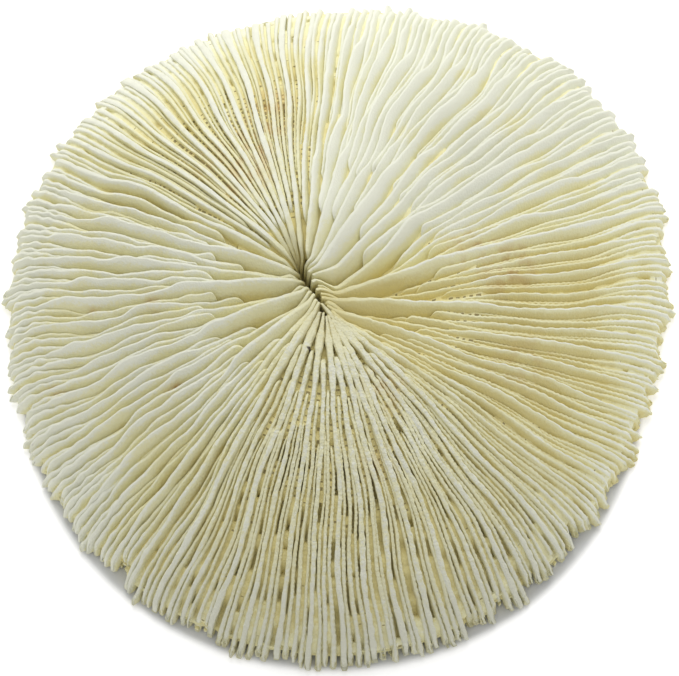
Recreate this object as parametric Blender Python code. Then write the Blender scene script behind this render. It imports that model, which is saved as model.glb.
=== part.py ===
"""Mushroom coral skeleton: the stony disc of one free-living coral, grown as a single piece.

A shallow dome carries septa, upright plates that run from the slit of the mouth to the rim.
The grooves between them go down to a thin wall, whose underside is flat enough to lie on and
carries low ribs, the costae, round a plain scar in the middle.
Metres, +Z up. The skeleton lies on z = 0, and the origin is the middle of its footprint.
"""

import math

import bmesh
import bpy
from mathutils import Vector

# Dome and wall
RIM_RADIUS = 0.0600
CROWN_HEIGHT = 0.0235
RIM_HEIGHT = 0.0028
DOME_POWERS = (2.0, 0.85)
WALL_SHARE = 0.46
COSTA_DEPTH = 0.0010
SCAR_RADIUS = 0.0125

# Mouth: a slit in the bottom of a steep funnel
MOUTH_PLACE = Vector((-0.0043, -0.0036))
MOUTH_HALF_LENGTH = 0.0046
MOUTH_HALF_WIDTH = 0.0011
MOUTH_DIRECTION = math.radians(118)
MOUTH_HEIGHT = 0.0105
FUNNEL_SHARE = 0.08

# The rim's departures from a circle, each as (waves round the rim, height, direction of one crest)
RIM_WAVES = (
    (2, 0.0028, math.radians(75)),
    (3, 0.0015, math.radians(35)),
    (4, 0.0003, math.radians(41)),
)

# How far the septa bow to the side halfway out, each as (waves round the rim, height)
BOW_WAVES = ((1, -0.0012), (2, -0.0007), (3, -0.0007))

# Septa: every fourth one starts at the mouth, the others further out
SEPTA = 144
CREST_WIDTH = 0.0009
CREST_SHARE = 0.5
TIP_REACH = 0.0016
HEIGHT_PLAY = 0.0006
LEAN = 0.0007
WANDER = 0.0005

# Colour of dry coral skeleton
IVORY = (0.76, 0.74, 0.60, 1.0)
IVORY_ROUGHNESS = 0.75


def chance(number, kind):
    """A fixed number from -1 to 1 for each septum, which looks random."""
    value = math.sin(number * 12.9898 + kind * 78.233) * 43758.5453
    return 2 * (value - math.floor(value)) - 1


def smooth(value, low, high):
    share = min(max((value - low) / (high - low), 0.0), 1.0)
    return share * share * (3 - 2 * share)


def rim_radius(angle):
    waves = sum(height * math.cos(count * (angle - crest)) for count, height, crest in RIM_WAVES)
    return RIM_RADIUS + waves


def rim_point(angle):
    return rim_radius(angle) * Vector((math.cos(angle), math.sin(angle)))


def mouth_edge(angle):
    """The point of the mouth's slit where the septum of this angle starts."""
    turn = angle - MOUTH_DIRECTION
    along = MOUTH_HALF_LENGTH * math.cos(turn)
    across = MOUTH_HALF_WIDTH * math.sin(turn)
    cos, sin = math.cos(MOUTH_DIRECTION), math.sin(MOUTH_DIRECTION)
    return MOUTH_PLACE + Vector((along * cos - across * sin, along * sin + across * cos))


def sideways(angle):
    """The direction across a septum, towards the next one round the rim."""
    along = rim_point(angle) - mouth_edge(angle)
    return Vector((-along.y, along.x)).normalized()


def sway(angle, share):
    """How far a septum lies to the side of the straight way out: one long bow and a slight wander."""
    bow = sum(height * math.cos(count * angle) for count, height in BOW_WAVES)
    wander = WANDER * math.sin(7 * angle - 13.0 * share) * smooth(share, 0.2, 0.7)
    return bow * math.sin(math.pi * min(share, 1.0)) + wander


def plan_point(angle, share):
    """The place in plan of a septum, from its start at the mouth, 0, to its end at the rim, 1."""
    place = mouth_edge(angle).lerp(rim_point(angle), share)
    return place + sway(angle, share) * sideways(angle)


def dome_height(share):
    """The height of the dome that the highest crests make."""
    outer, inner = DOME_POWERS
    return RIM_HEIGHT + (CROWN_HEIGHT - RIM_HEIGHT) * (1 - min(share, 1.0) ** outer) ** inner


def crest_height(share):
    """The dome with the steep, round-lipped funnel of the mouth sunk into its middle."""
    far = min(share / FUNNEL_SHARE, 1.0)
    lip = (1 - (1 - far) ** 2) ** 0.6
    return MOUTH_HEIGHT + (dome_height(share) - MOUTH_HEIGHT) * lip


def wall_height(share):
    """The bottom of the grooves, on the wall that joins the septa."""
    rim = (1 - WALL_SHARE) * 0.3 * RIM_HEIGHT * smooth(share, 0.8, 1.0)
    deep = WALL_SHARE * dome_height(share) + rim
    return min(deep, crest_height(share) - 0.0002)


class Ring:
    """One closed loop of points round the skeleton, each with its turn in laps."""

    def __init__(self, mesh):
        self.mesh = mesh
        self.turns = []
        self.points = []

    def add(self, angle, plan, height):
        self.turns.append(angle / math.tau)
        self.points.append(self.mesh.verts.new((plan.x, plan.y, height)))


def ridge_ring(mesh, share, ridges, young, height=None):
    """A loop over the septa: one or two points on each crest and one in each groove.

    Every second septum of the loop is of its youngest age, which stands lower by a share of the
    groove's depth, young, and has the single point. A height makes the whole loop level.
    """
    ring = Ring(mesh)
    step = math.tau / ridges
    spacing = share * RIM_RADIUS * step + MOUTH_HALF_LENGTH * step
    half = 0.5 * min(CREST_WIDTH, CREST_SHARE * spacing)
    for number in range(ridges):
        angle = number * step
        side = sideways(angle)
        septum = number * SEPTA // ridges
        reach = 0.5 * TIP_REACH * chance(septum, 2) * smooth(share, 0.98, 1.0)
        crest = plan_point(angle, share + reach / RIM_RADIUS) + LEAN * math.cos(angle) * side
        bottom = wall_height(share) if height is None else height
        top = height
        if height is None:
            top = crest_height(share) + HEIGHT_PLAY * chance(septum, 1) * smooth(share, 0.1, 0.3)
            if number % 2:
                top -= young * (top - bottom)
        if number % 2:
            ring.add(angle, crest, top)
        else:
            ring.add(angle - 0.2 * step, crest - half * side, top)
            ring.add(angle + 0.2 * step, crest + half * side, top)
        groove = angle + 0.5 * step
        inner = share - TIP_REACH / RIM_RADIUS * smooth(share, 0.85, 1.0)
        ring.add(groove, plan_point(groove, inner), bottom)
    return ring


def mouth_ring(mesh, count):
    """The edge of the slit at the bottom of the funnel."""
    ring = Ring(mesh)
    for number in range(count):
        angle = number * math.tau / count
        ring.add(angle, mouth_edge(angle), MOUTH_HEIGHT)
    return ring


def scar_ring(mesh, count):
    """The edge of the flat scar in the middle of the underside."""
    ring = Ring(mesh)
    for number in range(count):
        angle = number * math.tau / count
        plan = MOUTH_PLACE + SCAR_RADIUS * Vector((math.cos(angle), math.sin(angle)))
        ring.add(angle, plan, 0.0)
    return ring


def costa_ring(mesh, share, count):
    """A loop over the underside's ribs: one point on each rib, at rest height, one in each groove."""
    ring = Ring(mesh)
    step = math.tau / count
    for number in range(count):
        angle = number * step
        ring.add(angle, plan_point(angle, share), 0.0)
        ring.add(angle + 0.5 * step, plan_point(angle + 0.5 * step, share), COSTA_DEPTH)
    return ring


def stitch(mesh, first, second):
    """Triangles between two loops that may differ in their number of points."""
    counts = len(first.points), len(second.points)
    here = [0, 0]
    while here[0] < counts[0] or here[1] < counts[1]:
        ahead = []
        for ring, place, count in zip((first, second), here, counts):
            lap = (place + 1) // count
            turn = ring.turns[(place + 1) % count] + lap
            ahead.append(turn if place < count else math.inf)
        moving = 0 if ahead[0] <= ahead[1] else 1
        a = first.points[here[0] % counts[0]]
        b = second.points[here[1] % counts[1]]
        ring = (first, second)[moving]
        c = ring.points[(here[moving] + 1) % counts[moving]]
        mesh.faces.new((a, b, c))
        here[moving] += 1


def build_skeleton():
    mesh = bmesh.new()
    whole, half, quarter = SEPTA, SEPTA // 2, SEPTA // 4

    # From the mouth out over the dome, the septa doubling in number twice
    rings = [mouth_ring(mesh, quarter)]
    rings += [ridge_ring(mesh, share, quarter, 0.0) for share in (0.02, 0.055, 0.11)]
    rings += [ridge_ring(mesh, share, half, young) for share, young in ((0.17, 0.7), (0.26, 0.1))]
    for share in (0.35, 0.44, 0.54, 0.65, 0.76, 0.86, 0.94, 0.98):
        young = 0.75 - 0.6 * smooth(share, 0.30, 0.90)
        rings.append(ridge_ring(mesh, share, whole, young))

    # Round the toothed rim and back along the underside to the scar
    rings.append(ridge_ring(mesh, 1.0, whole, 0.15))
    rings.append(ridge_ring(mesh, 0.985, whole, 0.0, height=0.35 * RIM_HEIGHT))
    rings += [costa_ring(mesh, share, half) for share in (0.93, 0.55)]
    rings.append(scar_ring(mesh, half))

    for first, second in zip(rings, rings[1:]):
        stitch(mesh, first, second)
    mesh.faces.new(rings[0].points)
    mesh.faces.new(rings[-1].points)
    bmesh.ops.recalc_face_normals(mesh, faces=mesh.faces)
    centre_footprint(mesh)
    return mesh


def centre_footprint(mesh):
    """Puts the middle of the outline's box over the origin."""
    xs = [vertex.co.x for vertex in mesh.verts]
    ys = [vertex.co.y for vertex in mesh.verts]
    shift = Vector((-(min(xs) + max(xs)) / 2, -(min(ys) + max(ys)) / 2, 0.0))
    bmesh.ops.translate(mesh, verts=mesh.verts, vec=shift)


def ivory_material():
    material = bpy.data.materials.new("coral_skeleton")
    material.use_nodes = True
    shader = material.node_tree.nodes["Principled BSDF"]
    shader.inputs["Base Color"].default_value = IVORY
    shader.inputs["Roughness"].default_value = IVORY_ROUGHNESS
    shader.inputs["Metallic"].default_value = 0.0
    return material


def main():
    for old in list(bpy.data.objects):
        bpy.data.objects.remove(old)
    mesh = build_skeleton()
    data = bpy.data.meshes.new("coral_skeleton")
    mesh.to_mesh(data)
    mesh.free()
    data.materials.append(ivory_material())
    skeleton = bpy.data.objects.new("coral_skeleton", data)
    bpy.context.scene.collection.objects.link(skeleton)


main()
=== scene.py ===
"""Mushroom coral skeleton: the finished look of one coral disc, on a pale floor under studio light.

Every septum is an upright plate of its own, bent out of a straight blank along its way from the
mouth to the rim. Uneven floors close the grooves between them, a wall carries them, and low spiny
ribs run over the underside. Metres, +Z up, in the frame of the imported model.
"""

import math

import bmesh
import bpy
import numpy as np
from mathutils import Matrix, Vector


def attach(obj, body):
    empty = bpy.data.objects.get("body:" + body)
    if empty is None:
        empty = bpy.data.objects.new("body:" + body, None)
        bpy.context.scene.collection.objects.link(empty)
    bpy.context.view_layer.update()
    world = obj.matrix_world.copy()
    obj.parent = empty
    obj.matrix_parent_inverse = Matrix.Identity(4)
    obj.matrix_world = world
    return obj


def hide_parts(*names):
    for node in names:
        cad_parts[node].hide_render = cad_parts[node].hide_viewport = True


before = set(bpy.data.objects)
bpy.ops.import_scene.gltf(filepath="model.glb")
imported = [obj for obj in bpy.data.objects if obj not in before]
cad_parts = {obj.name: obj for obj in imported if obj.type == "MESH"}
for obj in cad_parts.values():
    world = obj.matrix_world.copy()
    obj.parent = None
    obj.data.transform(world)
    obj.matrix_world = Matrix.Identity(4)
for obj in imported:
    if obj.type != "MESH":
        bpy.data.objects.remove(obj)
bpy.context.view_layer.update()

MM = 0.001
NODE = "coral_skeleton"

# Dome and wall, as in the solid. A share is always of the way out, 0 at the mouth and 1 at the rim
RIM_RADIUS = 60.0 * MM
CROWN_HEIGHT = 23.5 * MM
RIM_HEIGHT = 2.8 * MM
DOME_POWERS = (2.0, 0.85)
WALL_SHARE = 0.46
WALL_RIM_RISE = 0.3
WALL_EDGE = 0.980
FOOTPRINT_SHIFT = (0.0, 1.57 * MM)

# The rim's departures from a circle, each as (waves round the rim, height, direction of one crest)
RIM_WAVES = (
    (2, 2.8 * MM, math.radians(75)),
    (3, 1.5 * MM, math.radians(35)),
    (4, 0.3 * MM, math.radians(41)),
)

# How far the plates bow to the side halfway out, each as (waves round the rim, height), and wander,
# in waves round the rim that turn by so many radians on the way out
BOW_WAVES = ((1, -1.2 * MM), (2, -0.7 * MM), (3, -0.7 * MM))
WANDER = 0.35 * MM
WANDER_WAVES = 7
WANDER_TURN = 13.0

# Mouth: a slit, with the dome sagging a little round it
MOUTH_PLACE = (-4.3 * MM, -3.6 * MM)
MOUTH_HALF_LENGTH = 5.2 * MM
MOUTH_HALF_WIDTH = 0.35 * MM
MOUTH_DIRECTION = math.radians(118)
MOUTH_HEIGHT = 13.5 * MM
MOUTH_ROUND = 20.0 * MM
MOUTH_SAG = 1.6 * MM

# Septa: four ages of plate, told by their number round the rim. Where each age starts, how far the
# start varies, and over how much of the way the crest rises, from the oldest age to the youngest
SEPTA = 288
AGE_BY_PLACE = (0, 3, 2, 3, 1, 3, 2, 3)
REPEAT = len(AGE_BY_PLACE)
START_SHARE = (0.0, 0.14, 0.26, 0.41)
START_PLAY = (0.0, 0.04, 0.05, 0.07)
RISE_SHARE = (0.016, 0.09, 0.08, 0.08)
RISE_PLAY = (0.6, 1.4)

# How far a plate stands off its even place, in places, and where its luck starts
ANGLE_PLAY = 0.24
PLATE_LUCK = 7

# How many plates each younger age adds for every first one, and between which shares it sets in
YOUNGER_AGES = ((1, 0.12, 0.22), (2, 0.24, 0.36), (4, 0.38, 0.54))

# Plates at the mouth: every second one of the first age starts further out, and one blade reaches
# across the slit. The places where first plates start further in or rise slowly, and where the
# others lie hidden, in mm, are each (amount, direction, half width in degrees)
SECOND_START = 0.016
START_INWARD = ((0.014, 20, 75), (0.008, 200, 75))
SLOW_RISE = ((0.12, 122, 42), (0.03, 180, 50))
HIDDEN = ((1.7, 15, 80), (1.4, 190, 75))
LONG_BLADE = 240
LONG_BLADE_START = -0.05

# The low plates beside the tall one at the upper right of the mouth: directions in degrees, and depth
HOLLOW_TURNS = (8, 41)
HOLLOW_DEPTH = 2.4 * MM

# Crest and foot of a plate. The crests stay a little below the dome and above the wall
CREST_BELOW = 0.3 * MM
LEAST_CREST = 0.2 * MM
FOOT_SUNK = 0.6 * MM
FOOT_HEIGHT = 0.5 * MM
FOOT_STEP = 0.03 * MM

# Teeth, for each age: how high they stand and how far they swing aside. A plate holds a row of
# random tooth sizes, whose mean is about TOOTH_MEAN
TOOTH_HEIGHT = (0.10 * MM, 0.10 * MM, 0.11 * MM, 0.11 * MM)
TOOTH_SWING = (0.05 * MM, 0.05 * MM, 0.06 * MM, 0.06 * MM)
TOOTH_SIZES = (0.35, 1.0)
TOOTH_MEAN = 0.67
TEETH = 400

# Tips at the rim: how far each age reaches in or out, how they round over, and how they are torn
TIP_REACH = (0.6 * MM, 0.7 * MM, 0.85 * MM, 0.95 * MM)
TIP_LENGTH = 0.028
TIP_POWER = 3.4
TIP_LEAST = 0.004
TORN_LENGTH = 0.022
TORN_REACH = 1.3 * MM
TORN_HEIGHT = 0.45 * MM
TORN_SWING = 0.22 * MM
TORN_ROWS = 6

# Sectors of the disc, which grew differently: the direction of each one's middle, and its half width
SECTORS = {
    "front": (275, 62),
    "right": (350, 55),
    "upper_right": (54, 58),
    "upper_left": (120, 40),
    "left": (195, 65),
}

# The rim's low lobes, each as (waves round the rim, size, phase), and their height
RIM_LOBES = ((23, 1.0, 0), (37, 0.8, 1), (61, 0.6, 2))
RIM_LOBE_HEIGHT = 0.45 * MM

# Notches in the rim: direction, depth in mm and half width in degrees
NOTCHES = (
    (232.0, 1.6, 1.3), (226.5, 0.8, 1.2), (313.5, 1.9, 2.2), (303.5, 1.4, 1.6), (297.0, 1.0, 1.4),
    (291.5, 0.8, 1.0), (250.0, 0.7, 1.2), (262.0, 0.6, 0.9), (58.0, 0.9, 1.5), (38.0, 0.8, 1.3),
    (178.0, 0.8, 1.2), (163.0, 0.7, 1.4), (199.0, 0.8, 1.3), (76.0, 0.8, 1.0),
)

# How thick each sector's crests are, for each age, as a share of their full thickness
CREST_THIN = {
    "front": (0.98, 0.92, 0.86, 0.88),
    "right": (0.28, 0.31, 0.50, 0.64),
    "upper_right": (0.36, 0.39, 0.55, 0.68),
    "upper_left": (0.96, 0.82, 0.70, 0.70),
    "left": (0.34, 0.37, 0.54, 0.67),
}

# How far the plates of each age stay below the dome, in mm, over most of their way and at the rim,
# and how much further the least bold ones do
DROP = {
    "front": (0.15, 0.2, 0.3, 0.4),
    "right": (0.10, 0.25, 0.80, 1.15),
    "upper_right": (0.2, 0.35, 0.8, 1.4),
    "upper_left": (0.1, 0.25, 0.6, 0.95),
    "left": (0.2, 0.4, 0.9, 2.0),
}
RIM_DROP = (0.1, 0.15, 0.25, 0.4)
TIMID_DROP = 0.25

# When the younger ages set in, as a share of the usual, and the depth in mm at which the faces of
# neighbouring plates have spread to meet
EARLY = {"front": 0.85, "right": 0.9, "upper_right": 1.0, "upper_left": 0.55, "left": 1.0}
SPREAD_DEPTH = {"front": 0.9, "right": 1.1, "upper_right": 1.0, "upper_left": 0.8, "left": 2.0}

# Sideways slope of the faces, height of the crests' lobes and of the ripple in mm, torn rim
SLOPE = {"front": 0.0, "right": 0.95, "upper_right": 1.35, "upper_left": 0.05, "left": -1.05}
LOBE_HEIGHT = {"front": 0.2, "right": 0.18, "upper_right": 0.55, "upper_left": 0.15, "left": 0.6}
RIPPLE = {"front": 0.14, "right": 0.12, "upper_right": 0.14, "upper_left": 0.07, "left": 0.11}
RAGGED = {"front": 1.15, "right": 0.9, "upper_right": 0.3, "upper_left": 0.5, "left": 0.7}
SLOPE_PLAY = 0.08

# How yellow the plates of each age are, a shift along the painted groove shade: partly each plate's own tone,
# partly painted shade that makes the front darker and the upper right paler
TONE = {
    "front": (1.1, 1.4, 2.9, 3.5),
    "right": (-0.3, 0.2, 1.2, 1.6),
    "upper_right": (-2.2, -2.0, -1.6, -1.0),
    "upper_left": (0.0, 0.6, 2.2, 2.6),
    "left": (-0.9, -0.7, 0.0, 0.8),
}
TONE_PLAY = 0.4
PAINTED_MOUTH_SHADE = 1.9

# How fast the painted groove shade grows yellower with depth, how much of it edges the crest and is
# lost at the rim, how grainy the surface is, and how much painted shade darkens each sector
PAINTED_SHADE_GROWTH = {"front": 1.3, "right": 2.9, "upper_right": 0.9, "upper_left": 1.1, "left": 0.95}
PAINTED_SHADE_AT_CREST = {"front": 0.24, "right": 0.17, "upper_right": 0.02, "upper_left": 0.10, "left": 0.03}
PALE_RIM = {"front": 3.2, "right": 2.2, "upper_right": 1.6, "upper_left": 3.2, "left": 1.4}
GRAINY = {"front": 1.9, "right": 0.7, "upper_right": 0.5, "upper_left": 0.7, "left": 0.8}
PAINTED_SECTOR_SHADE = {"front": 0.32, "right": 0.0, "upper_right": 0.02, "upper_left": 0.18, "left": 0.02}

# Thickness of the crest, for each age: as a share of the pitch, in mm at its least and its most, and
# how rough it makes the faces at the front
PITCH_SHARE = (1.0, 0.9, 0.74, 0.60)
THINNEST = (1.00, 0.92, 0.68, 0.50)
THICKEST = (1.70, 1.30, 0.95, 0.76)
FACE_ROUGHNESS = (0.30, 0.35, 0.40, 0.44)

# Depth over which a plate leans, and depth at which the grooves have their full painted shade
LEAN_DEPTH = 4.5 * MM
FULL_PAINTED_SHADE_DEPTH = 3.4 * MM

# Lobes of the crest: their length in mm, and how much of their height each age has
LOBE_LENGTH = (18, 34)
LOBE_BY_AGE = (1.0, 1.0, 0.8, 0.3)

# Lengths in mm of the waves along a plate, from the longest of each kind to the shortest
RIPPLE_LENGTHS = (24, 9.5, 4.3, 3.1)
SWELLING_LENGTHS = (17, 6.3)
CREST_LENGTHS = (12.5, 6.1)
FRINGE_LENGTHS = (5.2, 2.9)

# Blanks: samples along, cuts across the faces, segments of the crest's round
BLANKS = ((160, 3, 1), (150, 3, 1), (120, 2, 1), (88, 1, 1))
CREST_ROUND = 0.16


def smooth(value, low, high):
    """0 up to the low value, 1 from the high one on, and an even S between them."""
    share = np.clip((value - low) / (high - low), 0.0, 1.0)
    return share * share * (3 - 2 * share)


def towards(angle, degrees, width):
    """1 for an angle that points this way, falling to 0 this many degrees to either side."""
    away = abs((angle - math.radians(degrees) + math.pi) % math.tau - math.pi)
    return 0.5 + 0.5 * math.cos(math.pi * min(away / math.radians(width), 1.0))


def around(angle, places):
    """What the places add up to at this angle, each as (amount, direction, half width)."""
    return sum(amount * towards(angle, degrees, width) for amount, degrees, width in places)


def rim_radius(angle):
    return RIM_RADIUS + sum(height * np.cos(count * (angle - crest)) for count, height, crest in RIM_WAVES)


def rim_point(angle):
    radius = rim_radius(angle)
    return np.stack([radius * np.cos(angle), radius * np.sin(angle)], -1)


def mouth_edge(angle):
    """The point of the mouth's slit where the septum of this angle starts."""
    turn = angle - MOUTH_DIRECTION
    along = MOUTH_HALF_LENGTH * np.cos(turn)
    across = MOUTH_HALF_WIDTH * np.sin(turn)
    cos, sin = math.cos(MOUTH_DIRECTION), math.sin(MOUTH_DIRECTION)
    x = MOUTH_PLACE[0] + along * cos - across * sin
    y = MOUTH_PLACE[1] + along * sin + across * cos
    return np.stack([x, y], -1)


def sideways(angle):
    """The unit direction across a septum, towards the next one round the rim."""
    along = rim_point(angle) - mouth_edge(angle)
    across = np.stack([-along[..., 1], along[..., 0]], -1)
    return across / np.linalg.norm(across, axis=-1, keepdims=True)


def sway(angle, share):
    """How far a septum lies to the side of the straight way out: a long bow and a slight wander."""
    bow = sum(height * np.cos(count * angle) for count, height in BOW_WAVES)
    wander = WANDER * np.sin(WANDER_WAVES * angle - WANDER_TURN * share) * smooth(share, 0.2, 0.7)
    return bow * np.sin(math.pi * np.clip(share, 0.0, 1.0)) + wander


def plan_point(angle, share, aside=0.0):
    """The place in plan at this share of the way out, moved aside across the septum."""
    share = np.asarray(share, float)
    inner, outer = mouth_edge(angle), rim_point(angle)
    place = inner + (outer - inner) * share[..., None]
    moved = sway(angle, share) + aside
    return place + moved[..., None] * sideways(angle) + FOOTPRINT_SHIFT


def dome_height(share):
    outer, inner = DOME_POWERS
    return RIM_HEIGHT + (CROWN_HEIGHT - RIM_HEIGHT) * (1 - np.clip(share, 0.0, 1.0) ** outer) ** inner


def sagging_dome(share):
    """The dome, a little lower round the mouth."""
    return dome_height(share) - MOUTH_SAG * (1 - smooth(share, 0.0, 0.20))


def wall_height(share):
    """The top of the wall, which rises a little at the rim and up to the slit of the mouth."""
    rim = (1 - WALL_SHARE) * WALL_RIM_RISE * RIM_HEIGHT * smooth(share, 0.8, 1.0)
    mouth = (MOUTH_HEIGHT - WALL_SHARE * CROWN_HEIGHT) * (1 - smooth(share, 0.03, 0.16))
    return WALL_SHARE * dome_height(share) + rim + mouth


def pitch(share, early):
    """The mean distance from plate to plate, which shrinks where each younger age sets in."""
    round_it = MOUTH_ROUND * (1 - share) + math.tau * RIM_RADIUS * share
    younger = sum(many * smooth(share / early, begin, full) for many, begin, full in YOUNGER_AGES)
    return round_it / (SEPTA // REPEAT * (1 + younger))


def waves(share, length, phase):
    """A sine along the way out, this many mm long."""
    return np.sin(math.tau * share * (RIM_RADIUS / MM) / length + phase)


def broken_rim(angle):
    """The share of the way out that the notches take away at the rim."""
    lost = 0.0
    for degrees, depth, half_width in NOTCHES:
        off = (angle - math.radians(degrees) + math.pi) % math.tau - math.pi
        lost = lost + depth * np.exp(-(np.degrees(off) / half_width) ** 4)
    return lost * MM / RIM_RADIUS


class Septum:
    """One upright plate, with all that makes it differ from its neighbours."""

    def __init__(self, number):
        self.number = number % SEPTA
        self.age = AGE_BY_PLACE[self.number % REPEAT]
        second = (self.number // REPEAT) % 2
        luck = np.random.default_rng(self.number + PLATE_LUCK)
        self.angle = math.tau * (number + ANGLE_PLAY * luck.uniform(-1, 1)) / SEPTA
        parts = {name: towards(self.angle, *place) for name, place in SECTORS.items()}
        self.parts = {name: part / sum(parts.values()) for name, part in parts.items()}

        # Where it starts at the mouth, how fast it rises and where it ends at the rim
        self.early = self.of_sector(EARLY)
        self.start = (START_SHARE[self.age] + START_PLAY[self.age] * luck.uniform(-1, 1)) * self.early
        if self.age == 0:
            self.start += SECOND_START * luck.uniform(0, 1) * second - around(self.angle, START_INWARD)
        if self.number == LONG_BLADE:
            self.start = LONG_BLADE_START
        self.rise = RISE_SHARE[self.age] * luck.uniform(*RISE_PLAY)
        if self.age == 0:
            self.rise += around(self.angle, SLOW_RISE)
        self.end = 1.0 + self.rim_lobe() + TIP_REACH[self.age] / RIM_RADIUS * luck.uniform(-1, 1)
        self.boldness = luck.uniform(0, 1)
        self.hidden = 0.0
        if self.age == 1 or (self.age == 0 and second):
            self.hidden = around(self.angle, HIDDEN)

        self.phases = luck.uniform(-math.pi, math.pi, 7)
        self.lobe = luck.uniform(*LOBE_LENGTH) * MM
        self.tone = TONE_PLAY * luck.uniform(-1, 1) + self.of_sector(TONE)[self.age]
        self.teeth = luck.uniform(*TOOTH_SIZES, TEETH)
        self.slope = self.of_sector(SLOPE) + SLOPE_PLAY * luck.uniform(-1, 1)

    def of_sector(self, table):
        """The table's value here, between those of the sectors around."""
        return sum(part * np.asarray(table[name]) for name, part in self.parts.items())

    def rim_lobe(self):
        """The rim's own low lobes and notches, shared by neighbouring plates."""
        low = sum(size * math.sin(count * self.angle + phase) for count, size, phase in RIM_LOBES)
        return RIM_LOBE_HEIGHT * low / RIM_RADIUS - broken_rim(self.angle)

    def paler(self, share):
        """How much less painted groove shade the plate takes near the rim, and how much more in the hollow of
        the mouth.
        """
        rim = self.of_sector(PALE_RIM) * smooth(share, 0.70, 0.96)
        tip = (1 + self.parts["front"] + self.parts["right"]) * smooth(share, 0.90, 1.0)
        mouth = PAINTED_MOUTH_SHADE * (1 - smooth(share, 0.0, 0.34))
        return rim + tip - mouth

    def thickness(self, share):
        """How thick the plate is just below its crest."""
        long, short = SWELLING_LENGTHS
        room = PITCH_SHARE[self.age] * pitch(share, self.early)
        full = np.clip(room, THINNEST[self.age] * MM, THICKEST[self.age] * MM)
        grown = 0.45 + 0.55 * smooth(share, self.start, self.start + 0.12)
        bold = 0.80 + 0.34 * self.boldness
        swelling = 0.12 * waves(share, long, self.phases[4]) + 0.06 * waves(share, short, self.phases[1])
        calm = 1 - 0.6 * self.parts["upper_right"]
        thin = 1 + (self.of_sector(CREST_THIN)[self.age] - 1) * smooth(share, 0.02, 0.12)
        slim = 1 - 0.14 * self.parts["front"] * smooth(share, 0.75, 0.97)
        slim = slim + 0.25 * self.parts["upper_left"] * smooth(share, 0.55, 0.90)
        return full * grown * bold * (1 + calm * swelling) * thin * slim

    def roughness(self, step, across):
        """The share of its thickness by which each side of the plate stands out at each sample."""
        size = self.teeth[step + np.where(across > 0, 31, 7)]
        uneven_side = 0.6 * (size - TOOTH_MEAN) + np.where(step % 2 == 0, 0.28, -0.28) * size
        return (0.05 + FACE_ROUGHNESS[self.age] * self.parts["front"]) * uneven_side

    def aside(self, share):
        """The ripple of the plate, partly in step with its neighbours."""
        long, short, fine, finest = RIPPLE_LENGTHS
        bumpy = self.parts["left"] + 0.5 * self.parts["front"]
        ripple = waves(share, long, 5 * self.angle + 0.5 * self.phases[1])
        ripple = ripple + (0.22 + 0.22 * bumpy) * waves(share, short, 1.2 * self.phases[2])
        ripple = ripple + (0.08 + 0.14 * bumpy) * waves(share, fine, self.phases[3])
        fuzz = 0.2 * self.parts["left"] * waves(share, finest, self.phases[2]) * smooth(share, 0.8, 0.93)
        return self.of_sector(RIPPLE) * MM * smooth(share, 0.05, 0.3) * (ripple + fuzz)

    def leaning(self, share, below):
        """How far aside the plate's faces have gone at this depth below the dome."""
        gone = LEAN_DEPTH * (1 - np.exp(-below / LEAN_DEPTH))
        return -self.slope * gone * smooth(share, 0.0, 0.04) * (1 - 0.65 * smooth(share, 0.72, 0.98))

    def drop(self, share):
        """How far the crest stays below the dome."""
        most = self.of_sector(DROP)[self.age]
        late = (RIM_DROP[self.age] - most) * smooth(share, 0.70, 0.95)
        hidden = self.hidden * smooth(share, 0.02, 0.08) * (1 - smooth(share, 0.18, 0.58))
        return (most + late + TIMID_DROP * (1 - self.boldness) + hidden) * MM

    def lobes(self, share):
        """Long lobes of the crest, which rise slowly outwards and end in a step, and a fringe at the rim."""
        left, upper_right = self.parts["left"], self.parts["upper_right"]
        part = (share * RIM_RADIUS / self.lobe + self.phases[3]) % 1.0
        shape = smooth(part, 0.0, 0.6) * (1 - smooth(part, 0.80, 1.0)) - 0.8
        stepped = self.of_sector(LOBE_HEIGHT) * LOBE_BY_AGE[self.age] * shape
        long, short = CREST_LENGTHS
        gentle = (0.06 + 0.05 * (left + upper_right)) * waves(share, long, self.phases[1])
        gentle = gentle + 0.07 * left * waves(share, short, self.phases[5])
        grown = smooth(share, 0.16, 0.36) * (1 - 0.6 * smooth(share, 0.85, 1.0))
        long, short = FRINGE_LENGTHS
        fringe = 0.22 * waves(share, long, self.phases[5]) + 0.14 * waves(share, short, self.phases[6])
        fringe = fringe * (0.15 + 0.75 * left + 0.25 * upper_right) * smooth(share, 0.78, 0.92)
        return ((stepped + gentle) * grown + fringe) * MM

    def hollow(self, share):
        """How much lower the plates are beside the tall one at the upper right of the mouth."""
        begin, end = HOLLOW_TURNS
        turn = math.degrees(self.angle) % 360
        low = max(0.0, (turn - begin) / (end - begin)) if turn < end else 0.0
        return HOLLOW_DEPTH * low * smooth(share, 0.0, 0.05) * (1 - smooth(share, 0.12, 0.34))

    def crest(self, share):
        """The height of the plate's top edge."""
        top = sagging_dome(share) - CREST_BELOW - self.hollow(share) - self.drop(share) + self.lobes(share)
        floor = wall_height(share)
        far = np.clip((share - self.start) / self.rise, 0.0, 1.0)
        rise = (1 - (1 - far) ** 2) ** 0.45 if self.age == 0 else 1 - (1 - far) ** 3
        return floor + np.maximum(top - floor, LEAST_CREST) * rise

    def foot(self, share):
        """The height of the plate's lower edge, inside the wall and then down the open rim."""
        sunk = wall_height(share) - FOOT_SUNK
        out = smooth(share, WALL_EDGE - 0.03, WALL_EDGE)
        lowest = FOOT_HEIGHT + FOOT_STEP * (self.number % 5)
        return np.maximum(sunk, lowest) * (1 - out) + lowest * out


def start_by_hand():
    """Nothing selected and nothing in edit mode, ready for the next piece."""
    bpy.ops.object.select_all(action="DESELECT")
    bpy.context.view_layer.objects.active = None


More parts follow.
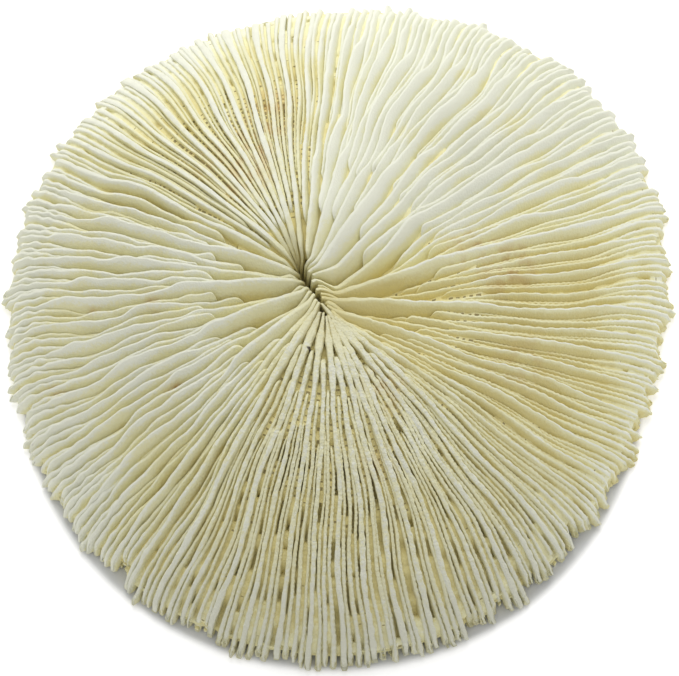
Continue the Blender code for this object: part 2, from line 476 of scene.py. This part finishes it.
def edit(piece):
    bpy.context.view_layer.objects.active = piece
    bpy.ops.object.mode_set(mode="EDIT")
    bpy.ops.mesh.select_all(action="DESELECT")
    bpy.ops.mesh.select_mode(type="EDGE")


def select_edges(piece, wanted):
    """In edit mode, selects just the edges whose two ends fit."""
    mesh = bmesh.from_edit_mesh(piece.data)
    for face in mesh.faces:
        face.select = False
    for edge in mesh.edges:
        edge.select = wanted(edge.verts[0].co, edge.verts[1].co)
    mesh.select_flush_mode()
    bmesh.update_edit_mesh(piece.data)


def runs_along(a, b):
    return abs(a.x - b.x) > 1e-6


def face_outwards(piece):
    edit(piece)
    bpy.ops.mesh.select_all(action="SELECT")
    bpy.ops.mesh.normals_make_consistent(inside=False)
    bpy.ops.object.mode_set(mode="OBJECT")


def plate_blank(name, samples, cuts, rounds):
    """A straight plate 1 long and 1 thick, with faces 1 high and a rounded crest above them."""
    start_by_hand()
    tall = 1 + CREST_ROUND
    bpy.ops.mesh.primitive_cube_add(size=1, location=(0.5, 0.0, tall / 2), scale=(1, 1, tall))
    blank = bpy.context.active_object
    blank.name = name
    bpy.ops.object.transform_apply(location=True, scale=True)
    edit(blank)
    select_edges(blank, lambda a, b: runs_along(a, b) and a.z > 1.0)
    bpy.ops.mesh.bevel(offset=CREST_ROUND, offset_type="OFFSET", segments=rounds)
    if cuts:
        select_edges(blank, lambda a, b: not runs_along(a, b) and abs(a.y - b.y) < 1e-6)
        bpy.ops.mesh.subdivide(number_cuts=cuts)
    select_edges(blank, runs_along)
    bpy.ops.mesh.subdivide(number_cuts=samples - 1)
    bpy.ops.object.mode_set(mode="OBJECT")
    return blank


def copy_of(blank, name):
    """A copy with its own mesh."""
    piece = blank.copy()
    piece.data = blank.data.copy()
    piece.name = name
    bpy.context.scene.collection.objects.link(piece)
    return piece


def points_of(piece):
    points = np.empty(len(piece.data.vertices) * 3)
    piece.data.vertices.foreach_get("co", points)
    return points.reshape(-1, 3)


def set_points(piece, plan, height):
    points = np.column_stack([plan, height]).astype(np.float32)
    piece.data.vertices.foreach_set("co", points.ravel())
    piece.data.update()


def mark(piece, name, values):
    """Stores a number at each point, for the material to read."""
    layer = piece.data.attributes.new(name, "FLOAT", "POINT")
    layer.data.foreach_set("value", np.broadcast_to(values, len(piece.data.vertices)).astype(np.float32))


def joined(pieces, name):
    start_by_hand()
    for piece in pieces:
        piece.select_set(True)
    bpy.context.view_layer.objects.active = pieces[0]
    bpy.ops.object.join()
    whole = bpy.context.view_layer.objects.active
    whole.name = name
    whole.data.name = name
    return whole


def discard(*blanks):
    for blank in blanks:
        bpy.data.objects.remove(blank)


# Rust-brown stains and small dark specks: direction, share of the way out, reach in mm and strength
STAINS = (
    (112, 0.44, 5.0, 0.9), (104, 0.58, 4.0, 0.6), (124, 0.34, 4.0, 0.7), (96, 0.84, 1.6, 1.3),
    (131, 0.50, 4.0, 0.5), (24, 0.43, 3.5, 0.8), (14, 0.52, 3.5, 0.9), (33, 0.40, 3.0, 0.5),
    (215, 0.62, 2.0, 0.5), (60, 0.72, 5.0, 0.35), (283, 0.50, 3.0, 0.4), (300, 0.30, 4.0, 0.5),
    (343, 0.60, 5.0, 0.4), (182, 0.50, 1.6, 1.4), (181, 0.68, 2.2, 1.1), (197, 0.86, 2.0, 1.2),
    (211, 0.53, 1.4, 1.5),
)
SPECKS = (
    (250, 0.155, 0.45, 1.0), (90, 0.975, 0.9, 1.0), (317, 0.27, 0.4, 1.0), (234, 0.48, 0.4, 1.0),
    (272, 0.71, 0.5, 1.0), (65, 0.35, 0.35, 1.0),
)


def spots(septum, share, places):
    """How strongly each place marks this point, from the distance round and along."""
    total = np.zeros_like(share)
    for degrees, out, reach, strength in places:
        off = math.remainder(septum.angle - math.radians(degrees), math.tau)
        away = np.hypot(off * share * RIM_RADIUS, (share - out) * RIM_RADIUS) / (reach * MM)
        total = total + strength * np.exp(-away ** 2)
    return total


def mark_spots(piece, septum, share, across):
    """Stains on all of the plate, specks on one side of it, and its grain."""
    mark(piece, "stain", spots(septum, share, STAINS))
    on_side = np.clip(2.4 * across, 0.0, 1.0)
    mark(piece, "speck", on_side * spots(septum, share, SPECKS))
    mark(piece, "grainy", septum.of_sector(GRAINY))


def mark_plate(piece, septum, share, up, crest, height):
    """What the finish reads on a plate: depth below the crest and yellow tone for the painted groove shade,
    and painted shade that darkens whole sectors, the mouth and the rim.
    """
    # Painted shade: the faces grow yellower and darker the deeper they lie below the crest, a little also on
    # the crest's round
    depth = (0.35 * (dome_height(share) - crest) + crest - height) / FULL_PAINTED_SHADE_DEPTH
    edge = septum.of_sector(PAINTED_SHADE_AT_CREST) * np.clip((1 + CREST_ROUND - up) / CREST_ROUND, 0.0, 1.0)
    mark(piece, "depth", np.clip(depth * septum.of_sector(PAINTED_SHADE_GROWTH) + edge, 0.0, 1.0))
    mark(piece, "tone", septum.tone - septum.paler(share))
    # Painted shade that darkens the mouth, the front and left rim, and whole sectors
    at_mouth = 0.12 * (1 - smooth(share, 0.02, 0.25))
    rim_shade = (0.20 * septum.parts["front"] + 0.07 * septum.parts["left"]) * smooth(share, 0.70, 0.96)
    mark(piece, "painted_sector_shade", septum.of_sector(PAINTED_SECTOR_SHADE) + at_mouth + rim_shade)


def bend_plate(piece, septum, samples):
    """Lays a straight plate along its septum, with its height, teeth, ripple and lean."""
    along, across, up = points_of(piece).T
    share = septum.start + (septum.end - septum.start) * along
    step = np.rint(along * samples).astype(int)
    crest, foot = septum.crest(share), septum.foot(share)

    # The tip at the rim rounds over and down
    out = np.clip(1 - (septum.end - share) / TIP_LENGTH, 0.0, 1.0)
    crest = foot + (crest - foot) * np.sqrt(np.maximum(1 - out ** TIP_POWER, TIP_LEAST))

    # Teeth along the crest, one for every second sample
    tooth = np.where(step % 2 == 0, 0.5, -0.5) * septum.teeth[step]
    tooth = tooth * (1 - 0.65 * septum.parts["upper_right"] - 0.25 * septum.parts["left"])
    crest = crest + TOOTH_HEIGHT[septum.age] * tooth * smooth(share, septum.start + 0.02, septum.start + 0.12)
    swing = TOOTH_SWING[septum.age] * tooth * np.clip((up - 0.8) / 0.2, 0.0, 1.0)

    # Ragged end at the rim, torn a little further in or out at every height
    torn = septum.of_sector(RAGGED) * smooth(share, septum.end - TORN_LENGTH, septum.end)
    row = np.rint(TORN_ROWS * up).astype(int)
    share = share + TORN_REACH / RIM_RADIUS * torn * (septum.teeth[(17 * row + 5) % TEETH] - TOOTH_MEAN)
    crest = crest + TORN_HEIGHT * torn * tooth
    swing = swing + TORN_SWING * torn * tooth

    # Rough faces, a little thinner at the tip, with the round of the crest above them
    thickness = septum.thickness(share) * (1 - 0.22 * smooth(share, septum.end - TIP_LENGTH, septum.end))
    thickness = thickness * (1 + septum.roughness(step, across))
    top_of_face = np.maximum(crest - CREST_ROUND * thickness, foot + 0.1 * MM)
    height = top_of_face - (top_of_face - foot) * (1 - np.minimum(up, 1.0)) ** 2
    height = height + np.maximum(up - 1.0, 0.0) * (crest - top_of_face) / CREST_ROUND

    # Further down they spread until the grooves are nearly closed
    spread = np.maximum(0.90 * pitch(share, septum.early) - thickness, 0.0)
    spread = spread * smooth(share, septum.start, septum.start + 0.1)
    below = np.maximum(top_of_face - height, 0.0)
    body = thickness + spread * smooth(below, 0.0, septum.of_sector(SPREAD_DEPTH) * MM)
    lean = septum.leaning(share, np.maximum(sagging_dome(share) - height, 0.0))
    aside = septum.aside(share) + lean + across * body + swing
    set_points(piece, plan_point(septum.angle, share, aside), height)
    mark_plate(piece, septum, share, up, crest, height)
    mark_spots(piece, septum, share, across)


def make_septa(septa):
    """All the plates, one piece for each age, the finest in two."""
    groups = {
        "first_septa": [septum for septum in septa if septum.age == 0],
        "second_septa": [septum for septum in septa if septum.age == 1],
        "third_septa": [septum for septum in septa if septum.age == 2],
        "fine_septa_front": [septum for septum in septa if septum.age == 3 and math.sin(septum.angle) < 0],
        "fine_septa_back": [septum for septum in septa if septum.age == 3 and math.sin(septum.angle) >= 0],
    }
    made = {}
    for name, members in groups.items():
        samples, cuts, rounds = BLANKS[members[0].age]
        blank = plate_blank(name + "_blank", samples, cuts, rounds)
        plates = []
        for septum in members:
            plate = copy_of(blank, f"{name}_{septum.number}")
            bend_plate(plate, septum, samples)
            plates.append(plate)
        discard(blank)
        made[name] = joined(plates, name)
    return made


septa = [Septum(number) for number in range(SEPTA)]
skeleton = make_septa(septa)


# Groove fill: the uneven floor of every groove, low between its two plates

# Samples along a groove, by how many places apart round the rim its two plates stand
FILL_SAMPLES = {8: 24, 4: 20, 2: 32, 1: 60}

# Depth below the lower crest in mm, how yellow its painted shade is, how much of it is pits, and how strong
# its painted dark gaps are
FILL_DEPTH = {"front": 0.32, "right": 0.35, "upper_right": 0.75, "upper_left": 0.2, "left": 1.3}
FILL_TONE = {"front": 3.4, "right": 1.0, "upper_right": -1.8, "upper_left": 3.0, "left": 0.5}
PITTED = {"front": 0.22, "right": 0.0, "upper_right": 0.0, "upper_left": 0.0, "left": 0.0}
PAINTED_GAPS = {"front": 0.6, "right": 0.78, "upper_right": 0.1, "upper_left": 1.10, "left": 0.4}
FILL_THICKNESS = 1.2 * MM
PIT_LENGTH = 1.8 * MM
ROUGH_LENGTH = 0.9 * MM
FILL_LUCK = 51

# A floor begins this far out from its plates' start, and ends where a younger plate has risen this
# much, or short of the wall's edge
FILL_BEGIN = 0.02
FILL_RISEN = 0.8
FILL_END = WALL_EDGE - 0.005


def strip_blank(samples):
    """A three-sided strip, 1 long and 1 across, with its flat side up."""
    start_by_hand()
    bpy.ops.mesh.primitive_cylinder_add(
        vertices=3, radius=1 / math.sqrt(3), depth=1, location=(0.5, 0, 0), rotation=(0, math.pi / 2, 0))
    strip = bpy.context.active_object
    strip.name = "strip_blank"
    bpy.ops.object.transform_apply(location=True, rotation=True)
    strip.rotation_euler = (-math.pi / 2, 0, 0)
    bpy.ops.object.transform_apply(rotation=True)
    edit(strip)
    select_edges(strip, runs_along)
    bpy.ops.mesh.subdivide(number_cuts=samples - 1)
    bpy.ops.object.mode_set(mode="OBJECT")
    return strip


def uneven(luck, place, length, step):
    """A random wave from 0 to 1 along a groove this long, with a new height at every step."""
    knots = luck.uniform(0, 1, int(length / step) + 3)
    return np.interp(place * length / step, np.arange(len(knots)), knots)


def fill_groove(piece, left, right, begin, end, luck):
    """Lays a strip along the groove between two plates, uneven and pitted, and marked for painted dark gaps.
    """
    along, across, up = points_of(piece).T
    share = begin + (end - begin) * along
    length = (end - begin) * RIM_RADIUS
    upper_left = left.parts["upper_left"]
    level = 1 - left.of_sector(PITTED)
    pit = smooth(uneven(luck, along, length, PIT_LENGTH), level - 0.3, level + 0.15)
    pit = pit * smooth(share, 0.32, 0.50)
    rough = uneven(luck, along, length, ROUGH_LENGTH)
    low = left.of_sector(FILL_DEPTH) + 0.3 * rough + 1.6 * pit
    low = low + (1.0 - 0.6 * upper_left) * (1 - smooth(share, 0.18, 0.34))
    crest = np.minimum(left.crest(share), right.crest(share))
    height = np.maximum(crest - low * MM, wall_height(share)) - np.where(up < 0, FILL_THICKNESS, 0.0)
    below = sagging_dome(share) - height
    first, last = (plan_point(plate.angle, share, plate.aside(share) + plate.leaning(share, below))
                   for plate in (left, right))
    set_points(piece, first + (last - first) * (across + 0.5)[:, None], height)

    # Painted shade: a floor is yellower and darker the further below the crests it lies
    mark(piece, "depth", np.clip(0.50 + (crest - height) / FULL_PAINTED_SHADE_DEPTH, 0.0, 1.0))
    mark(piece, "along", share * RIM_RADIUS / MM + 100 * luck.uniform())
    # Painted shade in small dark gaps along the groove
    painted_gaps = left.of_sector(PAINTED_GAPS) * (0.88 + 0.34 * luck.uniform())
    mark(piece, "painted_gaps", painted_gaps * smooth(share, 0.12, 0.20) * (1 - smooth(share, 0.46, 0.80)))
    mark(piece, "side", across)
    # Painted shade darkening the floors at the front
    mark(piece, "shade", 0.25 * left.parts["front"] * rough)
    # Less painted shade near the rim and at the upper left
    less_painted_shade = 1.6 * smooth(share, 0.86, 0.97) + 3.0 * upper_left * smooth(share, 0.45, 0.85)
    mark(piece, "tone", left.of_sector(FILL_TONE) - left.paler(share) - less_painted_shade)
    mark_spots(piece, left, share, across)


def neighbour(septa, left, step):
    """The plate this many places on, with its angle past a full turn where the count starts again."""
    if left.number + step < SEPTA:
        return septa[left.number + step]
    again = Septum(left.number + step - SEPTA)
    again.angle += math.tau
    return again


def make_fill(septa):
    """Strips, each from where two plates first are neighbours to where a younger one parts them."""
    strips = []
    luck = np.random.default_rng(FILL_LUCK)
    for step, samples in FILL_SAMPLES.items():
        blank = strip_blank(samples)
        for left in septa[::step]:
            right = neighbour(septa, left, step)
            begin = max(left.start, right.start) + FILL_BEGIN
            end = FILL_END - max(broken_rim(left.angle), broken_rim(right.angle))
            if step > 1:
                between = neighbour(septa, left, step // 2)
                end = between.start + FILL_RISEN * between.rise
            strip = copy_of(blank, f"fill_{step}_{left.number}")
            fill_groove(strip, left, right, begin, end, luck)
            strips.append(strip)
        discard(blank)
    return joined(strips, "groove_fill")


skeleton["groove_fill"] = make_fill(septa)


# Wall: one closed shell under the plates, domed above and nearly flat below, round a plain scar
WALL_RINGS_ABOVE = (0.0, 0.02, 0.05, 0.1, 0.17, 0.25, 0.34, 0.43, 0.52, 0.61, 0.7, 0.78, 0.85, 0.91,
                    0.95, WALL_EDGE)
WALL_RINGS_BELOW = (0.955, 0.90, 0.84, 0.76, 0.66, 0.56, 0.46, 0.36, 0.28, 0.23, 0.0)
COSTA_DEPTH = 1.0 * MM
SCAR_RADIUS = 12.5 * MM
SCAR_HEIGHT = 0.25 * MM
UNDERSIDE_PAINTED_SHADE = 0.25


def make_wall():
    start_by_hand()
    bpy.ops.mesh.primitive_circle_add(vertices=SEPTA, radius=1.0, fill_type="NGON")
    wall = bpy.context.active_object
    wall.name = "wall"
    rings = WALL_RINGS_ABOVE + WALL_RINGS_BELOW
    edit(wall)
    bpy.ops.mesh.select_all(action="SELECT")
    for _ in rings[1:]:
        bpy.ops.mesh.extrude_region_move(TRANSFORM_OT_translate={"value": (0, 0, -1)})
    bpy.ops.object.mode_set(mode="OBJECT")

    x, y, z = points_of(wall).T
    level = np.rint(-z).astype(int)
    angle = np.arctan2(y, x)
    above = level < len(WALL_RINGS_ABOVE)
    share = np.array(rings)[level]
    share = share - broken_rim(angle) * smooth(share, 0.75, 0.95)
    plan = plan_point(angle, share)
    height = np.where(above, wall_height(share), COSTA_DEPTH)
    scar = level == len(rings) - 1
    centre = np.add(MOUTH_PLACE, FOOTPRINT_SHIFT)
    plan[scar] = centre + SCAR_RADIUS * np.stack([np.cos(angle[scar]), np.sin(angle[scar])], -1)
    height[scar] = SCAR_HEIGHT
    set_points(wall, plan, height)
    face_outwards(wall)
    # Painted shade: the wall is yellower the further below the dome it lies, the underside by a fixed share
    depth = np.clip((dome_height(share) - height) / FULL_PAINTED_SHADE_DEPTH, 0.0, 1.0)
    mark(wall, "depth", np.where(above, depth, UNDERSIDE_PAINTED_SHADE))
    mark(wall, "tone", 0.0)
    mark(wall, "grainy", 1.0)
    return wall


skeleton["wall"] = make_wall()


# Underside: low ribs with blunt spines, long under the older plates and short under the youngest.
# Each kind is (samples along, share at which it starts)
LONG_RIB = (30, 0.26)
SHORT_RIB = (18, 0.58)
RIB_END = 0.985
RIB_ROOT = COSTA_DEPTH + 0.3 * MM
RIB_HEIGHT = 0.45 * MM
SPINE_HEIGHT = 0.7 * MM


def bend_costa(piece, septum, samples, begin):
    along, across, up = points_of(piece).T
    share = begin + (RIB_END - broken_rim(septum.angle) - begin) * along
    step = np.rint(along * samples).astype(int)
    spine = np.where(step % 2 == 0, 1.0, 0.25) * septum.teeth[step]
    crest = COSTA_DEPTH - (RIB_HEIGHT + SPINE_HEIGHT * spine) * smooth(share, begin, begin + 0.08)
    out = up / (1 + CREST_ROUND)
    height = RIB_ROOT + (crest - RIB_ROOT) * out
    thickness = (0.30 + 0.30 * share) * MM * (1.0 - 0.35 * out)
    plan = plan_point(septum.angle, share, septum.aside(share) * 0.4 + across * thickness)
    set_points(piece, plan, np.maximum(height, 0.0))
    # Painted shade, a little deeper low on each rib
    mark(piece, "depth", 0.10 + 0.3 * np.clip(1 - up, 0, 1))
    mark(piece, "tone", septum.tone)
    mark(piece, "grainy", 1.0)


def make_costae(septa):
    ribs = []
    blanks = {kind: plate_blank("rib_blank", kind[0], 0, 1) for kind in (LONG_RIB, SHORT_RIB)}
    for septum in septa:
        kind = SHORT_RIB if septum.age == 3 else LONG_RIB
        rib = copy_of(blanks[kind], f"costa_{septum.number}")
        bend_costa(rib, septum, *kind)
        ribs.append(rib)
    discard(*blanks.values())
    costae = joined(ribs, "costae")
    face_outwards(costae)
    return costae


skeleton["costae"] = make_costae(septa)


# Finishes
# The middle and deep colours paint shade and warm scattered light into the grooves, the dull colour is
# painted shade over whole sectors, and the hole colour paints shade into small gaps; rust and speck are the
# skeleton's own stains
COLOURS = {
    "Crest": (0.885, 0.89, 0.76, 1.0),
    "Middle": (0.87, 0.84, 0.54, 1.0),
    "Painted_Deep_Shade": (0.77, 0.685, 0.325, 1.0),
    "Painted_Sector_Shade": (0.55, 0.54, 0.42, 1.0),
    "Painted_Gap_Shade": (0.31, 0.26, 0.12, 1.0),
    "Rust": (0.62, 0.43, 0.19, 1.0),
    "Speck": (0.10, 0.08, 0.06, 1.0),
}
ROUGHNESS = 0.8
SHINE = 0.3
GRAIN_STRENGTH = 0.6
GRAIN_HEIGHT = 0.10 * MM

# How close the spots of each pattern lie, per metre
PATCHES, STAIN_PATCHES, DUST, SPECKLE, GRANULES = 110.0, 420.0, 1500.0, 1900.0, 2600.0

# How far the patches shift the depth, then the plate's tone and the speckle
PATCH_SHIFT = (-0.22, 0.57)
TONE_SHIFT = 0.10
SPECKLE_SHIFT = 0.45

# Shifted depths between which the colour goes over to the middle and to the deep painted shade, and takes
# stains
TO_PAINTED_MIDDLE_SHADE = (0.22, 0.52)
TO_PAINTED_DEEP_SHADE = (0.55, 1.05)
TO_STAIN = (0.35, 0.75)

# Painted shade in small dark gaps along the grooves: their distance in mm, how fast chance changes
# along a groove, how much the even rhythm and the sector's own mark count, the levels at which a gap
# opens, and how far off the middle it ends, as shares of the groove's width
GAP_PITCH = 1.2
GAP_CHANCE = 0.9
GAP_RHYTHM = 0.18
GAP_SHARE = 0.5
GAP_LEVEL = (0.90, 0.97)
GAP_SIDES = (0.21, 0.14)


def link(tree, value, socket):
    """Feeds a socket from another node, or sets it to a plain value."""
    if isinstance(value, bpy.types.NodeSocket):
        tree.links.new(value, socket)
    else:
        socket.default_value = value


def object_place(tree):
    return tree.nodes.new("ShaderNodeTexCoord").outputs["Object"]


def attribute(tree, name):
    node = tree.nodes.new("ShaderNodeAttribute")
    node.attribute_name = name
    return node.outputs["Fac"]


def calculate(tree, operation, *values):
    node = tree.nodes.new("ShaderNodeMath")
    node.operation = operation
    for value, socket in zip(values, node.inputs):
        link(tree, value, socket)
    return node.outputs[0]


def noise(tree, place, scale, detail, dimensions="3D"):
    node = tree.nodes.new("ShaderNodeTexNoise")
    node.noise_dimensions = dimensions
    node.inputs["Scale"].default_value = scale
    node.inputs["Detail"].default_value = detail
    link(tree, place, node.inputs["W" if dimensions == "1D" else "Vector"])
    return node.outputs["Fac"]


def ramp(tree, value, span, kind="LINEAR", out=(0.0, 1.0)):
    """0 at one end of the span and 1 at the other, or the two values of out, and level beyond."""
    node = tree.nodes.new("ShaderNodeMapRange")
    node.interpolation_type = kind
    for name, number in zip(("From Min", "From Max", "To Min", "To Max"), (*span, *out)):
        node.inputs[name].default_value = number
    link(tree, value, node.inputs["Value"])
    return node.outputs[0]


def mixed(tree, amount, first, second):
    """The first colour, and this amount of the second over it."""
    node = tree.nodes.new("ShaderNodeMix")
    node.data_type = "RGBA"
    for socket, value in ((0, amount), (6, first), (7, second)):
        link(tree, value, node.inputs[socket])
    return node.outputs[2]


def painted_gap_shade(tree):
    """Painted shade: small dark gaps in a broken row along the middle of each groove, and painted shade in
    its hollows.
    """
    along = attribute(tree, "along")
    rhythm = calculate(tree, "SINE", calculate(tree, "MULTIPLY", along, math.tau / GAP_PITCH))
    chance = noise(tree, along, GAP_CHANCE, 1.0, "1D")
    level = calculate(tree, "MULTIPLY_ADD", rhythm, GAP_RHYTHM, chance)
    level = calculate(tree, "MULTIPLY_ADD", attribute(tree, "painted_gaps"), GAP_SHARE, level)
    gap = ramp(tree, level, GAP_LEVEL, "SMOOTHSTEP")
    narrow = ramp(tree, calculate(tree, "ABSOLUTE", attribute(tree, "side")), GAP_SIDES)
    return calculate(tree, "MAXIMUM", calculate(tree, "MULTIPLY", gap, narrow), attribute(tree, "shade"))


def stain_mask(tree, place, depth):
    """Stains in broken patches, low on the plates."""
    broken = ramp(tree, noise(tree, place, STAIN_PATCHES, 3.0), (0.42, 0.62))
    low = ramp(tree, depth, TO_STAIN)
    stain = calculate(tree, "MULTIPLY", calculate(tree, "MULTIPLY", broken, low), attribute(tree, "stain"))
    stain.node.use_clamp = True
    return stain


def tint_and_painted_shade_group():
    """Colour with painted shade by depth in the groove, with slow patches, a tone for each plate, painted
    shade over whole sectors and in small gaps, stains and specks.
    """
    tree = bpy.data.node_groups.new("groove_tint_and_painted_shade", "ShaderNodeTree")
    for name in COLOURS:
        tree.interface.new_socket(name, in_out="INPUT", socket_type="NodeSocketColor")
    tree.interface.new_socket("Colour", in_out="OUTPUT", socket_type="NodeSocketColor")
    colours = tree.nodes.new("NodeGroupInput").outputs
    result = tree.nodes.new("NodeGroupOutput")
    place = object_place(tree)

    # Depth, which sets the painted groove shade, shifted by the patches, by the plate's own tone, and by a
    # fine speckle where it is grainy
    patches = ramp(tree, noise(tree, place, PATCHES, 3.0), (0.0, 1.0), out=PATCH_SHIFT)
    depth = calculate(tree, "ADD", patches, attribute(tree, "depth"))
    depth = calculate(tree, "MULTIPLY_ADD", attribute(tree, "tone"), TONE_SHIFT, depth)
    speckle = calculate(tree, "SUBTRACT", noise(tree, place, SPECKLE, 1.0), 0.5)
    speckle = calculate(tree, "MULTIPLY", speckle, attribute(tree, "grainy"))
    speckled = calculate(tree, "MULTIPLY_ADD", speckle, SPECKLE_SHIFT, depth)

    # Painted shade over the crest colour: middle and deep by depth, over whole sectors and in small gaps;
    # then rust stains and specks
    layers = {
        "Middle": ramp(tree, speckled, TO_PAINTED_MIDDLE_SHADE, "SMOOTHSTEP"),
        "Painted_Deep_Shade": ramp(tree, speckled, TO_PAINTED_DEEP_SHADE, "SMOOTHSTEP"),
        "Painted_Sector_Shade": attribute(tree, "painted_sector_shade"),
        "Painted_Gap_Shade": painted_gap_shade(tree),
        "Rust": stain_mask(tree, place, depth),
        "Speck": ramp(tree, attribute(tree, "speck"), (0.45, 0.65)),
    }
    colour = colours["Crest"]
    for name, amount in layers.items():
        colour = mixed(tree, amount, colour, colours[name])
    link(tree, colour, result.inputs["Colour"])
    return tree


def grain_group():
    """Height of the skeleton's fine grain: granules and dust."""
    tree = bpy.data.node_groups.new("skeleton_grain", "ShaderNodeTree")
    tree.interface.new_socket("Height", in_out="OUTPUT", socket_type="NodeSocketFloat")
    result = tree.nodes.new("NodeGroupOutput")
    place = object_place(tree)
    granules = tree.nodes.new("ShaderNodeTexVoronoi")
    granules.inputs["Scale"].default_value = GRANULES
    link(tree, place, granules.inputs["Vector"])
    grain = calculate(tree, "ADD", granules.outputs["Distance"], noise(tree, place, DUST, 3.0))
    link(tree, calculate(tree, "MULTIPLY", grain, attribute(tree, "grainy")), result.inputs["Height"])
    return tree


def skeleton_finish():
    material = bpy.data.materials.new("dry_skeleton")
    material.use_nodes = True
    tree = material.node_tree
    shader = tree.nodes["Principled BSDF"]
    shader.inputs["Roughness"].default_value = ROUGHNESS
    shader.inputs["Specular IOR Level"].default_value = SHINE
    tint_and_shade = tree.nodes.new("ShaderNodeGroup")
    tint_and_shade.node_tree = tint_and_painted_shade_group()
    for name, colour in COLOURS.items():
        tint_and_shade.inputs[name].default_value = colour
    link(tree, tint_and_shade.outputs["Colour"], shader.inputs["Base Color"])
    grain = tree.nodes.new("ShaderNodeGroup")
    grain.node_tree = grain_group()
    relief = tree.nodes.new("ShaderNodeBump")
    relief.inputs["Strength"].default_value = GRAIN_STRENGTH
    relief.inputs["Distance"].default_value = GRAIN_HEIGHT
    link(tree, grain.outputs["Height"], relief.inputs["Height"])
    link(tree, relief.outputs["Normal"], shader.inputs["Normal"])
    return material


finish = skeleton_finish()
for piece in skeleton.values():
    piece.data.materials.clear()
    piece.data.materials.append(finish)
    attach(piece, "root")
    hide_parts(NODE)
    start_by_hand()
    piece.select_set(True)
    bpy.context.view_layer.objects.active = piece
    bpy.ops.object.shade_smooth_by_angle(angle=math.radians(42))


# Studio: the floor is plain white and glows evenly, but close in front of the rim a narrow shadow is painted
# on it: there it turns grey and stops glowing
FLOOR_SIZE = 6.0
PAINTED_SHADOW_MIDDLE = (-1.2 * MM, -9.0 * MM, 0.0)
PAINTED_SHADOW_EDGE = (52.6 * MM, 54.4 * MM)
FLOOR_PAINTED_SHADOW = (0.76, 0.77, 0.78, 1.0)
FLOOR_WHITE = (0.96, 0.96, 0.96, 1.0)
FLOOR_GLOW = 0.34
WHITE = (1.0, 1.0, 1.0, 1.0)


def make_floor():
    start_by_hand()
    bpy.ops.mesh.primitive_plane_add(size=FLOOR_SIZE, location=(0, 0, 0))
    floor = bpy.context.active_object
    floor.name = "floor"
    material = bpy.data.materials.new("pale_floor_painted_shadow")
    material.use_nodes = True
    tree = material.node_tree
    shader = tree.nodes["Principled BSDF"]
    shader.inputs["Roughness"].default_value = 0.9
    shader.inputs["Emission Color"].default_value = WHITE
    away = tree.nodes.new("ShaderNodeVectorMath")
    away.operation = "DISTANCE"
    away.inputs[1].default_value = PAINTED_SHADOW_MIDDLE
    link(tree, object_place(tree), away.inputs[0])
    # Painted shadow: grey and without glow within this distance of a point just in front of the middle
    clear = ramp(tree, away.outputs["Value"], PAINTED_SHADOW_EDGE, "SMOOTHSTEP")
    link(tree, calculate(tree, "MULTIPLY", clear, FLOOR_GLOW), shader.inputs["Emission Strength"])
    link(tree, mixed(tree, clear, FLOOR_PAINTED_SHADOW, FLOOR_WHITE), shader.inputs["Base Color"])
    floor.data.materials.append(material)


def area_light(name, place, aim, size, power, colour):
    light = bpy.data.lights.new(name, "AREA")
    light.shape = "DISK"
    light.size = size
    light.energy = power
    light.color = colour
    lamp = bpy.data.objects.new(name, light)
    lamp.location = place
    lamp.rotation_euler = (Vector(aim) - Vector(place)).to_track_quat("-Z", "Y").to_euler()
    bpy.context.scene.collection.objects.link(lamp)


def make_world(strength):
    world = bpy.data.worlds.new("studio_air")
    world.use_nodes = True
    background = world.node_tree.nodes["Background"]
    background.inputs["Color"].default_value = WHITE
    background.inputs["Strength"].default_value = strength
    bpy.context.scene.world = world


CAMERA_ELEVATION = math.radians(66)
CAMERA_DISTANCE = 0.60
CAMERA_AIM = Vector((0.0, -0.0054, 0.0076))
CAMERA_LENS = 185.8
CAMERA_SENSOR = 36.0


def make_camera():
    camera = bpy.data.cameras.new("camera")
    camera.sensor_width = CAMERA_SENSOR
    camera.lens = CAMERA_LENS
    holder = bpy.data.objects.new("camera", camera)
    back = Vector((0.0, -math.cos(CAMERA_ELEVATION), math.sin(CAMERA_ELEVATION)))
    holder.location = CAMERA_AIM + back * CAMERA_DISTANCE
    holder.rotation_euler = (-back).to_track_quat("-Z", "Y").to_euler()
    bpy.context.scene.collection.objects.link(holder)
    bpy.context.scene.camera = holder


make_floor()
area_light("key", place=(0.0, 0.8, 0.74), aim=(0, 0, 0), size=0.8, power=6.6, colour=(1.0, 1.0, 0.98))
make_world(strength=0.595)
make_camera()
bpy.context.scene.view_settings.view_transform = "Standard"
